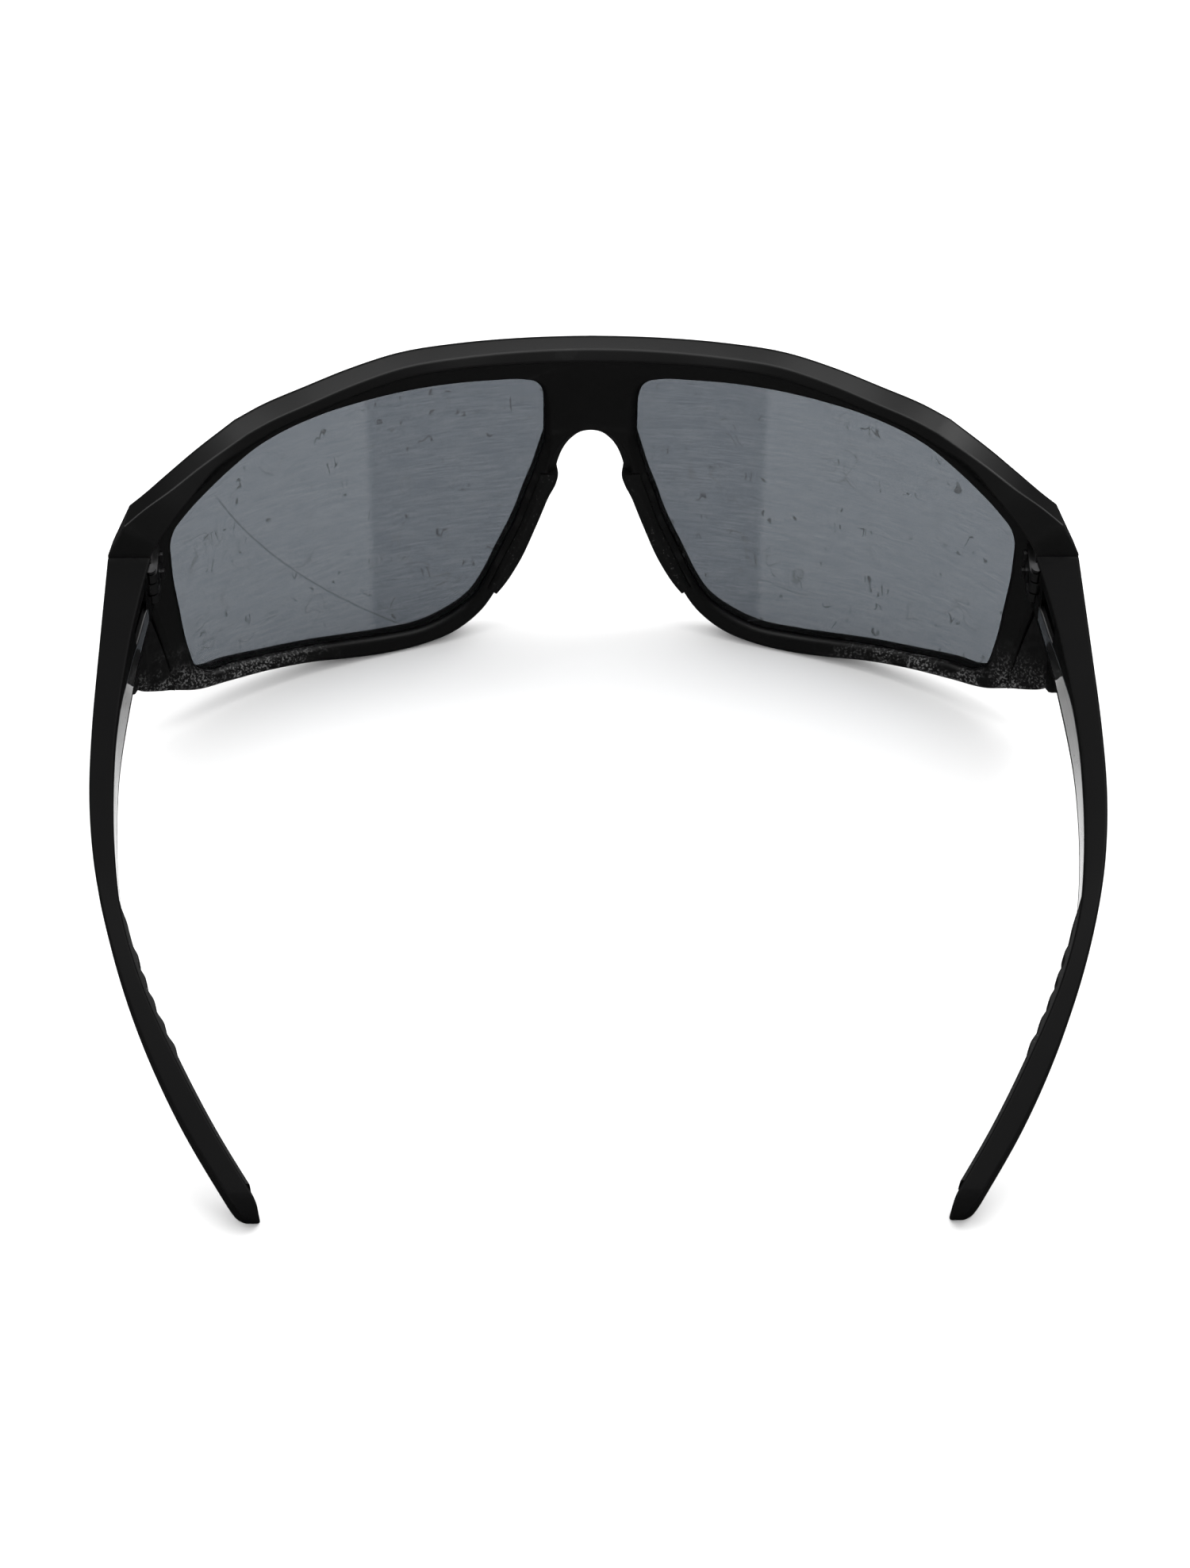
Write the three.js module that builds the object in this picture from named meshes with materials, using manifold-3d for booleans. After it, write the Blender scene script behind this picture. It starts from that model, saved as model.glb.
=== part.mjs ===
// Wraparound sport sunglasses, standing open on a table. Millimetres.
// +X is the wearer's left, -Y is forward, away from the face, and +Z is up.
// The rims and the temple tips touch z = 0, and the origin is the middle of the footprint.
// The left side is drawn and the right side is its mirror image.

import * as THREE from 'three';
import { mergeVertices } from 'three/addons/utils/BufferGeometryUtils.js';
import Module from 'manifold-3d';

const wasm = await Module();
wasm.setup();

// Driving dimensions.
const WRAP_RADIUS = 95; // plan radius of the lens surface, whose foremost point is at y = 0
const TILT_RADIUS = 90; // radius of the lens surface seen from the side
const MID_HEIGHT = 26; // height at which the lens surface stands upright
const FRONT_LIFT = -2.6; // front face of the frame, measured along the wrap's normal
const BACK_LIFT = 2.4; // back face of the frame, the same way
const LENS_THICKNESS = 1.9;
const LENS_BITE = 1.2; // how far a lens reaches into its rim
const GAP = 0.3; // room between pieces that touch on the real object
const BUTT_Y = 39.7; // rear face of the end pieces, where the temples close against them
const TEMPLE_START = 40;
const TEMPLE_END = 151;
const LINER_RANGE = [44, 106.5];
const GRIP_RANGE = [107, 147.3];
const HINGE = { x: 69.9, y: 40.9, z: 34.6, lean: THREE.MathUtils.degToRad(11), radius: 1.1 };
const FOOTPRINT_CENTRE_Y = 73.887;

const COLOURS = {
  frame: 0x161618,
  lens: 0x4a5057,
  rubber: 0x1c1c1e,
  liner: 0x3a3a3e,
  steel: 0x9a9ca0,
};

// The wrap: the curved surface midway through the lenses. Lift is the distance from it towards the face.

function wrapNormal(x, z) {
  const across = x / Math.sqrt(WRAP_RADIUS ** 2 - x ** 2);
  return new THREE.Vector3(-across, 1, -(z - MID_HEIGHT) / TILT_RADIUS).normalize();
}

function onWrap(x, z, lift) {
  const plan = WRAP_RADIUS - Math.sqrt(WRAP_RADIUS ** 2 - x ** 2);
  const side = (z - MID_HEIGHT) ** 2 / (2 * TILT_RADIUS);
  return new THREE.Vector3(x, plan + side, z).addScaledVector(wrapNormal(x, z), lift);
}

// Mesh building.

function signedVolume(points, faces) {
  const across = new THREE.Vector3();
  return faces.reduce((sum, [a, b, c]) => {
    across.crossVectors(points[b], points[c]);
    return sum + points[a].dot(across) / 6;
  }, 0);
}

// A closed body from points and triangles, with equal points merged and the faces turned outwards.
function closedBody(points, faces) {
  const turned = signedVolume(points, faces) < 0;
  const index = faces.flatMap(([a, b, c]) => (turned ? [a, c, b] : [a, b, c]));
  const geometry = new THREE.BufferGeometry().setFromPoints(points);
  geometry.setIndex(index);
  return mergeVertices(geometry, 1e-3);
}

// The triangles between neighbouring rings of `size` points, the last ring joined to the first if `around`.
function bandFaces(ringCount, size, around) {
  const faces = [];
  for (let i = 0; i < (around ? ringCount : ringCount - 1); i += 1) {
    const next = ((i + 1) % ringCount) * size;
    for (let k = 0; k < size; k += 1) {
      const [a, b] = [i * size + k, i * size + ((k + 1) % size)];
      const [c, d] = [next + k, next + ((k + 1) % size)];
      faces.push([a, b, d], [a, d, c]);
    }
  }
  return faces;
}

// A loft through rings of points, closed at both ends by a fan about the middle of the end ring.
function loft(rings) {
  const size = rings[0].length;
  const points = rings.flat();
  const faces = bandFaces(rings.length, size, false);
  [0, rings.length - 1].forEach((ring) => {
    const middle = new THREE.Vector3();
    rings[ring].forEach((point) => middle.addScaledVector(point, 1 / size));
    points.push(middle);
    for (let k = 0; k < size; k += 1) {
      const [a, b] = [ring * size + k, ring * size + ((k + 1) % size)];
      faces.push(ring === 0 ? [b, a, points.length - 1] : [a, b, points.length - 1]);
    }
  });
  return closedBody(points, faces);
}

function toSolid(geometry) {
  const bare = geometry.clone();
  bare.deleteAttribute('normal');
  bare.deleteAttribute('uv');
  const merged = mergeVertices(bare, 1e-4);
  return new wasm.Manifold(new wasm.Mesh({
    numProp: 3,
    vertProperties: new Float32Array(merged.attributes.position.array),
    triVerts: new Uint32Array(merged.index.array),
  }));
}

function toGeometry(solid) {
  const mesh = solid.getMesh();
  const geometry = new THREE.BufferGeometry();
  geometry.setAttribute('position', new THREE.BufferAttribute(new Float32Array(mesh.vertProperties), 3));
  geometry.setIndex(new THREE.BufferAttribute(new Uint32Array(mesh.triVerts), 1));
  return geometry;
}

const join = (...geometries) => toGeometry(geometries.map(toSolid).reduce((a, b) => a.add(b)));
const cut = (body, ...tools) => toGeometry(tools.map(toSolid).reduce((a, b) => a.subtract(b), toSolid(body)));

function mirrored(geometry) {
  const copy = geometry.clone();
  copy.scale(-1, 1, 1);
  const index = copy.index.array.slice();
  for (let i = 0; i < index.length; i += 3) [index[i + 1], index[i + 2]] = [index[i + 2], index[i + 1]];
  copy.setIndex(new THREE.BufferAttribute(index, 1));
  return copy;
}

// A smooth curve through [y, value] keys.
function along(keys, y) {
  const last = keys.length - 1;
  const i = Math.min(Math.max(keys.findIndex((key) => key[0] > y) - 1, 0), last - 1);
  const at = y >= keys[last][0] ? last - 1 : i;
  const slope = (k) => {
    const [before, after] = [keys[Math.max(k - 1, 0)], keys[Math.min(k + 1, last)]];
    return (after[1] - before[1]) / (after[0] - before[0]);
  };
  const [start, end] = [keys[at], keys[at + 1]];
  const span = end[0] - start[0];
  const t = (y - start[0]) / span;
  return start[1] * (1 + 2 * t) * (1 - t) ** 2 + end[1] * t * t * (3 - 2 * t)
    + span * (slope(at) * t * (1 - t) ** 2 - slope(at + 1) * t * t * (1 - t));
}

function steps(from, to, count) {
  return Array.from({ length: count + 1 }, (_, i) => from + ((to - from) * i) / count);
}

// The frame front. Each station joins a point of the lens opening to a point of the outer outline,
// both given as [x, z] on the wrap, and carries one cross-section of the frame between them.
// `edge` is the size of the rounded corners, `brow` the height of the ridge under the top face, and
// `rear` the rearmost outer and inner corners of an end piece, as [x, y, z].
const STATIONS = [
  { opening: [7.7, 38.8], outline: [0, 39.2] },
  { opening: [7.7, 39.8], outline: [0, 40], edge: 0 },
  { opening: [7.7, 43], outline: [0, 46], edge: 0 },
  { opening: [7.9, 47], outline: [0, 51], edge: 0 },
  { opening: [8.6, 49.6], outline: [0, 56.1], edge: 0 },
  { opening: [9.8, 50.9], outline: [0, 56.95], brow: 0.3 },
  { opening: [11.8, 51.5], outline: [5, 56.95], brow: 0.3 },
  { opening: [17, 51.8], outline: [12, 57], brow: 0.3 },
  { opening: [24, 52], outline: [21, 57.05], brow: 0.3 },
  { opening: [31, 51.9], outline: [30.6, 56.95], brow: 0.3 },
  { opening: [38, 51.5], outline: [38, 55.7], brow: 0.4 },
  { opening: [45.2, 50.8], outline: [45.5, 54.1], brow: 0.5 },
  { opening: [50.6, 49.7], outline: [52, 53], brow: 0.6 },
  { opening: [54.8, 48.2], outline: [56, 51.9], brow: 0.7 },
  { opening: [58.6, 46], outline: [62.4, 48.6], rear: [[61.4, 28.2, 49.2], [60, 28.4, 48.2]] },
  { opening: [62.4, 43.4], outline: [66.6, 46.4], rear: [[66.3, 32.1, 47.1], [63.4, 32, 45.5]] },
  { opening: [66.4, 40.2], outline: [70.2, 44.8], rear: [[70.6, 36.4, 46], [67, 36.2, 42.6]] },
  { opening: [68, 38.5], outline: [71.8, 44.35], rear: [[73.7, 39.2, 44.6], [68.8, 38.6, 40.8]] },
  { opening: [68.7, 36.3], outline: [74.5, 39.4], rear: [[76.6, BUTT_Y, 39.3], [69.8, BUTT_Y, 39.2]] },
  { opening: [68.8, 33.2], outline: [74.5, 33], rear: [[76.6, BUTT_Y, 33], [69.8, BUTT_Y, 33]] },
  { opening: [68.8, 32.2], outline: [74.2, 32.4] },
  { opening: [68.7, 28.4], outline: [73.3, 28.5] },
  { opening: [68.4, 24.9], outline: [72.5, 25] },
  { opening: [68.1, 21.9], outline: [71.9, 22] },
  { opening: [67.7, 17.7], outline: [71.1, 17.5] },
  { opening: [67.1, 13.9], outline: [70.4, 13.2] },
  { opening: [66, 9.9], outline: [69.4, 7.9] },
  { opening: [64.6, 8.3], outline: [66.4, 6] },
  { opening: [60.2, 7.2], outline: [61.3, 4.6] },
  { opening: [54.1, 5.8], outline: [54.6, 3.3] },
  { opening: [47, 4.6], outline: [47.4, 1.9] },
  { opening: [40.7, 3.6], outline: [40.8, 0.5] },
  { opening: [34.8, 3], outline: [34.5, -0.2] },
  { opening: [28.6, 3.1], outline: [28.3, 0.1] },
  { opening: [24.4, 4.4], outline: [23.5, 1.3] },
  { opening: [20.2, 7], outline: [18.6, 4.6] },
  { opening: [17.7, 10.6], outline: [15.3, 9.1] },
  { opening: [16, 14.1], outline: [12.8, 12.9] },
  { opening: [12.7, 21.1], outline: [9.6, 20.2] },
  { opening: [10.9, 26.4], outline: [7.6, 25.6] },
  { opening: [9.8, 29.4], outline: [6, 29.4] },
  { opening: [8.9, 32.5], outline: [5.4, 32.3] },
  { opening: [8.1, 35.5], outline: [4.4, 35.2] },
  { opening: [7.7, 37.1], outline: [3.1, 37.4] },
  { opening: [7.7, 38.1], outline: [1.6, 38.8] },
];

// A point of the frame, `inset` outwards from the lens opening along a station's line.
function stationPoint({ opening, outline }, inset, lift) {
  const [from, to] = [new THREE.Vector2(...opening), new THREE.Vector2(...outline)];
  const place = from.clone().add(to.sub(from).setLength(inset));
  return onWrap(place.x, place.y, lift);
}

const stationWidth = ({ opening, outline }) => Math.hypot(outline[0] - opening[0], outline[1] - opening[1]);

function frontSection(station) {
  const width = stationWidth(station);
  const { edge = 0.6, brow = 0, rear } = station;
  const groove = LENS_THICKNESS / 2 + GAP;
  const at = (inset, lift) => stationPoint(station, inset, lift);
  const outerCorner = rear ? new THREE.Vector3(...rear[0]) : at(width, BACK_LIFT - edge);
  const ridge = rear ? new THREE.Vector3(...rear[1]) : at(width - edge - brow, BACK_LIFT + brow * 0.5);
  const footInset = rear ? Math.max(0.5 * width, 1.9) : width - 1.4 * edge - 2 * brow;
  return [
    at(0, BACK_LIFT - 0.7),
    at(0, groove),
    at(LENS_BITE + GAP, groove),
    at(LENS_BITE + GAP, -groove),
    at(0, -groove),
    at(0, FRONT_LIFT + 0.7),
    at(0.7, FRONT_LIFT),
    at(width - edge, FRONT_LIFT),
    at(width, FRONT_LIFT + edge),
    outerCorner,
    ridge,
    at(footInset, BACK_LIFT),
    at(0.7, BACK_LIFT),
  ];
}

// The two halves of the front meet on the plane x = 0, where neither has a face.
function frontShell() {
  const rings = STATIONS.map(frontSection);
  const half = rings.flat();
  half.forEach((point) => { point.z = Math.max(point.z, 0); });
  const faces = bandFaces(rings.length, rings[0].length, true)
    .filter((face) => face.some((k) => Math.abs(half[k].x) > 1e-6));
  const mirror = half.map((point) => new THREE.Vector3(-point.x, point.y, point.z));
  const mirrorFaces = faces.map(([a, b, c]) => [a + half.length, c + half.length, b + half.length]);
  return closedBody([...half, ...mirror], [...faces, ...mirrorFaces]);
}

// A lens: the opening's outline, grown by the bite, filled by ever smaller copies of itself.
const LENS_CENTRE = new THREE.Vector2(38, 28);
const LENS_RINGS = [1, 0.75, 0.5, 0.25];

function lens() {
  const outline = STATIONS.map(({ opening, outline: outer }) => {
    const from = new THREE.Vector2(...opening);
    return from.add(new THREE.Vector2(...outer).sub(from).setLength(LENS_BITE));
  });
  const side = (lift, scales) => scales.map((scale) => outline.map((point) => {
    const place = LENS_CENTRE.clone().lerp(point, scale);
    return onWrap(place.x, place.y, lift);
  }));
  const half = LENS_THICKNESS / 2;
  return loft([...side(-half, [...LENS_RINGS].reverse()), ...side(half, LENS_RINGS)]);
}

// A nose pad wraps the rear nose-side corner of its rim. `size` thins its ends, and `clearance` grows it into
// its seat.
const PAD_STATIONS = [
  { opening: [18.3, 9.5], outline: [16.3, 7.7], size: 0.75 },
  ...STATIONS.filter(({ outline: [x, z] }) => x < 16 && z > 9 && z < 30),
  { opening: [9.45, 30.6], outline: [5.8, 30.5], size: 0.85 },
];

function nosePad(clearance) {
  return loft(PAD_STATIONS.map((station, i) => {
    const width = stationWidth(station);
    const { size = 1 } = station;
    const shift = i === 0 ? -clearance : clearance * (i === PAD_STATIONS.length - 1);
    const lip = Math.max(0.9, width - 3);
    const profile = [
      [width - 0.6 - clearance, BACK_LIFT - 0.1 - clearance],
      [lip - clearance, BACK_LIFT - 0.1 - clearance],
      [lip + 0.2, BACK_LIFT + 0.7 * size + 2 * clearance],
      [width - 1.2, BACK_LIFT + 1.3 * size + 2 * clearance],
      [width + 0.3 * size + clearance, BACK_LIFT + 0.8 * size + clearance],
      [width + 0.9 * size + 2 * clearance, 0.8],
      [width + 0.7 * size + 2 * clearance, -1],
      [width - 0.3 - clearance, -1.2 - clearance],
    ];
    return profile.map(([inset, lift]) => {
      const point = stationPoint(station, inset, lift);
      return point.setZ(point.z + shift);
    });
  }));
}

// The arm, as keys along the y of its top edge: its outer and inner faces, the height of the top edge, how
// deep the arm is below it, and how many degrees its sections lean to stand square to the bent rear.
const ARM = {
  outer: [[40, 76.6], [60, 76.6], [75, 76.5], [88, 75.9], [100, 74.4], [110, 72.2], [120, 69],
    [130, 64.7], [140, 59.2], [151, 51.6]],
  inner: [[40, 69.8], [48, 70.9], [58, 71.9], [75, 72.7], [88, 72.3], [100, 71.2], [110, 69.5], [120, 66.1],
    [130, 61.1], [140, 55.3], [151, 47.9]],
  top: [[40, 39.2], [60, 35.2], [80, 31.3], [97, 28], [108, 25.2], [120, 20.4], [151, 5.6]],
  depth: [[40, 9.8], [60, 9.5], [80, 8.6], [100, 7.6], [120, 5.9], [140, 5.1], [151, 6.8]],
  lean: [[40, 0], [62, 0], [97, 12], [112, 24], [151, 25]],
};

// A point of the arm's section at `y`, at a given x and distance below the top edge.
function armPoint(y, x, drop) {
  const lean = THREE.MathUtils.degToRad(along(ARM.lean, y));
  const height = along(ARM.top, y) - drop * Math.cos(lean);
  return new THREE.Vector3(x, y - drop * Math.sin(lean), Math.max(height, 0));
}

// An eight-sided section across the arm, shrunk towards its middle by `scale`.
function armSection(y, scale = 1) {
  const [outer, inner, depth] = [ARM.outer, ARM.inner, ARM.depth].map((keys) => along(keys, y));
  const corner = 0.5;
  const outline = [
    [inner, depth - corner], [inner, corner], [inner + corner, 0], [outer - corner, 0],
    [outer, corner], [outer, depth - corner], [outer - corner, depth], [inner + corner, depth],
  ];
  const middle = [(outer + inner) / 2, depth];
  return outline.map(([x, drop]) => armPoint(
    y,
    middle[0] + (x - middle[0]) * scale,
    middle[1] + (drop - middle[1]) * scale,
  ));
}

// The cheek panel carries the wrap of the front on to the arm. Each slice is upright, from `low` to `high`,
// given on the wrap by x or, behind the joint, by y.
const PANEL_SLICES = [
  { x: 69.95, low: 8.2, high: 9 },
  { x: 70.6, low: 8.4, high: 12.2 },
  { x: 71.5, low: 8.9, high: 17.3 },
  { x: 72.3, low: 9.3, high: 21.6 },
  { x: 73.2, low: 9.9, high: 26 },
  { x: 74, low: 10.6, high: 30 },
  { x: 74.6, low: 11.1, high: 32.1 },
];
const PANEL_TAIL = [[40.2, 12.4], [44, 15.4], [49, 19.6], [54, 23.4], [58, 26]];

function cheekPanel() {
  const corner = 0.4;
  const slice = (outer, inner, low, high) => [
    new THREE.Vector3(outer.x, outer.y, low + corner),
    new THREE.Vector3(outer.x, outer.y, high),
    new THREE.Vector3(inner.x, inner.y, high),
    new THREE.Vector3(inner.x, inner.y, low + corner),
    new THREE.Vector3().lerpVectors(inner, outer, 0.25).setZ(low),
    new THREE.Vector3().lerpVectors(inner, outer, 0.75).setZ(low),
  ];
  const wrapSlices = PANEL_SLICES.map(({ x, low, high }, i) => {
    const innerLift = BACK_LIFT - (1.6 * i) / (PANEL_SLICES.length - 1);
    return slice(onWrap(x, low, FRONT_LIFT), onWrap(x, low, innerLift), low, high);
  });
  const tailSlices = PANEL_TAIL.map(([y, low]) => {
    const [outer, top] = [ARM.outer, ARM.top].map((keys) => along(keys, y));
    return slice(new THREE.Vector3(outer - 0.1, y, 0), new THREE.Vector3(outer - 2.8, y, 0), low, top - 6.6);
  });
  return loft([...wrapSlices, ...tailSlices]);
}

// A strip let into the inner face of the arm, from `start` to `end` of its depth below the arm's top edge.
function innerStrip(stations, strip, clearance) {
  return loft(stations.map((y, i) => {
    const shift = i === 0 ? -clearance : clearance * (i === stations.length - 1);
    const { depth, proud, start, end } = strip(y);
    const inner = along(ARM.inner, y);
    const [face, floor] = [inner - proud - 3 * clearance, inner + depth + clearance];
    const corner = 0.2;
    return [
      [face + corner, end + clearance], [face, end - corner + clearance],
      [face, start + corner - clearance], [face + corner, start - clearance],
      [floor, start - clearance], [floor, end + clearance],
    ].map(([x, drop]) => armPoint(y + shift, x, drop));
  }));
}

// The liner lies flush, below a parting line that climbs towards the arm's top edge.
const PARTING_DROP = [[40, 6], [50, 5.6], [60, 3.6], [70, 1.5], [110, 1.3]];

function templeLiner(clearance) {
  return innerStrip(steps(...LINER_RANGE, 16), (y) => (
    { depth: 0.8, proud: 0, start: along(PARTING_DROP, y), end: along(ARM.depth, y) - 0.9 }
  ), clearance);
}

// The ear grip stands proud, after a ramp, and carries ribs.
const RIBS = { first: 115.6, pitch: 3.2, count: 5, height: 0.3 };

function gripProud(y) {
  const ramp = THREE.MathUtils.smoothstep(y, GRIP_RANGE[0], GRIP_RANGE[0] + 4);
  const beyond = (y - RIBS.first) / RIBS.pitch;
  const ribbed = beyond > -0.5 && beyond < RIBS.count - 0.5;
  return 0.1 + 0.5 * ramp + (ribbed ? RIBS.height * Math.cos(Math.PI * beyond) ** 2 : 0);
}

function earGrip(clearance) {
  return innerStrip(steps(...GRIP_RANGE, 44), (y) => (
    { depth: 0.7, proud: gripProud(y), start: 0.7, end: Math.min(along(ARM.depth, y), 5.2) - 0.7 }
  ), clearance);
}

// The hinge, drawn about its pivot: local z is the pivot axis, x points out of the joint and y backwards.
const KNUCKLE = { half: 1.1, top: 3.1 };
const SCREW = { shaft: 0.55, head: 0.95, headHeight: 0.5 };
const FRAME_LEAF = { near: -1.1, far: -0.05, front: -6, rear: -1.6 };
const TEMPLE_LEAF = { near: 2.9, far: 3.8, front: 2.4, rear: 12.4, half: 2.4 };
const FRAME_FIXINGS = [[-4.4, 1.9], [-4.4, -1.9]];
const TEMPLE_FIXINGS = [[5.4, 0], [10, 0]];
const FIXING = { shaft: 0.45, bore: 0.75, head: 0.95, headHeight: 0.45, reach: 2.6 };

function cylinder(radius, from, to, sides = 16) {
  const geometry = new THREE.CylinderGeometry(radius, radius, to - from, sides);
  geometry.rotateX(Math.PI / 2);
  return geometry.translate(0, 0, (from + to) / 2);
}

function block(x, y, z) {
  const geometry = new THREE.BoxGeometry(x[1] - x[0], y[1] - y[0], z[1] - z[0]);
  return geometry.translate((x[0] + x[1]) / 2, (y[0] + y[1]) / 2, (z[0] + z[1]) / 2);
}

// A rod along x at [y, z], from one x to another.
function rodAcross([y, z], radius, from, to) {
  return cylinder(radius, from, to, 12).rotateY(Math.PI / 2).translate(0, y, z);
}

function pivotScrew() {
  const { shaft, head, headHeight } = SCREW;
  return join(
    cylinder(shaft, -KNUCKLE.top, KNUCKLE.top + 0.3),
    cylinder(head, KNUCKLE.top + 0.2, KNUCKLE.top + 0.2 + headHeight),
  );
}

const pivotBore = () => cylinder(SCREW.shaft + 0.12, -KNUCKLE.top - 1, KNUCKLE.top + 1);

function frameLeaf() {
  const { near, far, front, rear } = FRAME_LEAF;
  const inner = KNUCKLE.half + GAP;
  const knuckles = [[inner, KNUCKLE.top], [-KNUCKLE.top, -inner]].flatMap((range) => [
    cylinder(HINGE.radius, ...range),
    block([near, far], [rear - 0.1, 0], range),
  ]);
  const plate = block([near, far], [front, rear], [-KNUCKLE.top, KNUCKLE.top]);
  const bores = FRAME_FIXINGS.map((place) => rodAcross(place, FIXING.bore, near - 1, far + 1));
  return cut(join(plate, ...knuckles), pivotBore(), ...bores);
}

function templeLeaf() {
  const { near, far, front, rear, half } = TEMPLE_LEAF;
  const web = block([0, far], [0.1, 1.1], [-KNUCKLE.half, KNUCKLE.half]);
  const rise = block([near, far], [1, front + 0.1], [-KNUCKLE.half, KNUCKLE.half]);
  const plate = block([near, far], [front, rear], [-half, half]);
  const bores = TEMPLE_FIXINGS.map((place) => rodAcross(place, FIXING.bore, near - 1, far + 1));
  const knuckle = cylinder(HINGE.radius, -KNUCKLE.half, KNUCKLE.half);
  return cut(join(knuckle, web, rise, plate), pivotBore(), ...bores);
}

// A fixing screw through a leaf into the plastic, its head against the leaf's near face.
function fixingScrew(place, near) {
  return join(
    rodAcross(place, FIXING.shaft, near - 0.2, near + FIXING.reach),
    rodAcross(place, FIXING.head, near - 0.1 - FIXING.headHeight, near - 0.1),
  );
}

const pilotHoles = (places, { near }) => places.map(
  (place) => rodAcross(place, FIXING.bore, near, near + FIXING.reach + GAP),
);

// Room in the plastic for the turning barrel and for each leaf.
const barrelRoom = () => cylinder(HINGE.radius + GAP, -KNUCKLE.top - 1.6, KNUCKLE.top + 1.6);

function frameLeafRoom() {
  const { near, far, front } = FRAME_LEAF;
  const half = KNUCKLE.top + GAP;
  return block([near - GAP, far + GAP], [front - GAP, 0], [-half, half]);
}

function templeLeafRoom() {
  const { far, front, rear, half } = TEMPLE_LEAF;
  return join(
    block([-1, far + GAP], [-0.3, front], [-KNUCKLE.half - GAP, KNUCKLE.half + GAP]),
    block([0.6, far + GAP], [front - GAP, rear + GAP], [-half - GAP, half + GAP]),
  );
}

// Moves hinge geometry from the hinge's own axes to those of the whole object.
function atHinge(geometry) {
  return geometry.clone().rotateX(-HINGE.lean).translate(HINGE.x, HINGE.y, HINGE.z);
}

function frameFront() {
  const tools = [
    barrelRoom(),
    frameLeafRoom(),
    ...pilotHoles(FRAME_FIXINGS, FRAME_LEAF),
  ].map(atHinge);
  const seats = [nosePad(GAP), ...tools];
  return cut(frontShell(), ...seats, ...seats.map(mirrored));
}

function templeShell() {
  const body = join(
    loft([
      ...steps(TEMPLE_START, TEMPLE_END - 2.5, 36).map((y) => armSection(y)),
      armSection(TEMPLE_END - 1.1, 0.93),
      armSection(TEMPLE_END - 0.3, 0.78),
      armSection(TEMPLE_END, 0.55),
    ]),
    cheekPanel(),
  );
  const tools = [barrelRoom(), templeLeafRoom(), ...pilotHoles(TEMPLE_FIXINGS, TEMPLE_LEAF)].map(atHinge);
  return cut(body, templeLiner(GAP), earGrip(GAP), ...tools);
}

// Assembly.

function finish(color, roughness, metalness = 0) {
  return new THREE.MeshStandardMaterial({ color, roughness, metalness });
}

const materials = {
  frame: () => finish(COLOURS.frame, 0.6),
  lens: () => finish(COLOURS.lens, 0.08),
  rubber: () => finish(COLOURS.rubber, 0.85),
  liner: () => finish(COLOURS.liner, 0.3),
  steel: () => finish(COLOURS.steel, 0.35, 1),
};

function part(name, geometry, material) {
  const mesh = new THREE.Mesh(geometry, materials[material]());
  mesh.name = name;
  return mesh;
}

function hingeGroup(side, sign) {
  const group = new THREE.Group();
  group.position.set(sign * HINGE.x, HINGE.y, HINGE.z);
  group.rotation.x = -HINGE.lean;
  const turned = (geometry) => (sign > 0 ? geometry : mirrored(geometry));
  const add = (name, geometry) => group.add(part(`${name}_${side}`, turned(geometry), 'steel'));
  add('hinge_frame_leaf', frameLeaf());
  add('hinge_temple_leaf', templeLeaf());
  add('hinge_pivot_screw', pivotScrew());
  ['upper', 'lower'].forEach((place, i) => {
    add(`frame_leaf_screw_${place}`, fixingScrew(FRAME_FIXINGS[i], FRAME_LEAF.near));
  });
  ['front', 'rear'].forEach((place, i) => {
    add(`temple_leaf_screw_${place}`, fixingScrew(TEMPLE_FIXINGS[i], TEMPLE_LEAF.near));
  });
  return group;
}

const glasses = new THREE.Group();
glasses.position.y = -FOOTPRINT_CENTRE_Y;
glasses.add(part('frame_front', frameFront(), 'frame'));
const sidePieces = [
  ['lens', lens(), 'lens'],
  ['nose_pad', nosePad(0), 'rubber'],
  ['temple', templeShell(), 'frame'],
  ['temple_liner', templeLiner(0), 'liner'],
  ['ear_grip', earGrip(0), 'rubber'],
];
[['left', 1], ['right', -1]].forEach(([side, sign]) => {
  sidePieces.forEach(([name, geometry, material]) => {
    glasses.add(part(`${name}_${side}`, sign > 0 ? geometry : mirrored(geometry), material));
  });
  glasses.add(hingeGroup(side, sign));
});

export default glasses;
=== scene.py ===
"""Looks for a pair of wraparound sport sunglasses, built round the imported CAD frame.

Shapes are drawn in millimetres in the drawing's own frame, where y = 0 is the foremost point of the lens
wrap, and solid() turns them into metres in the CAD frame. The left side is drawn and the right side is its
mirror image.
"""

import math

import bmesh
import bpy
import numpy as np
from mathutils import Matrix, Vector


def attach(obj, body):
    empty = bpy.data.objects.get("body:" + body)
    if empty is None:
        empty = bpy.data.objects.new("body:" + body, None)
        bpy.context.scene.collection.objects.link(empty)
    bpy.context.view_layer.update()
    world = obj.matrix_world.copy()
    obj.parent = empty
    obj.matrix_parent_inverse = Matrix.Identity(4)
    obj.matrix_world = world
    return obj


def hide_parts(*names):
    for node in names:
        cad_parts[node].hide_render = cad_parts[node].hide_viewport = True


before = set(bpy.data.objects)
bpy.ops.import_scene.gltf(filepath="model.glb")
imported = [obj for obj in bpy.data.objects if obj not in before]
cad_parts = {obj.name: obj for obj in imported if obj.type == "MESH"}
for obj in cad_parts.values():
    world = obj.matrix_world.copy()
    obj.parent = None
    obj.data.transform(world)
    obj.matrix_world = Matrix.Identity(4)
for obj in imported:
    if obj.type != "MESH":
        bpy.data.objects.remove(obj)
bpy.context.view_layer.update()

MM = 0.001
SIDES = (("left", 1), ("right", -1))

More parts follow.
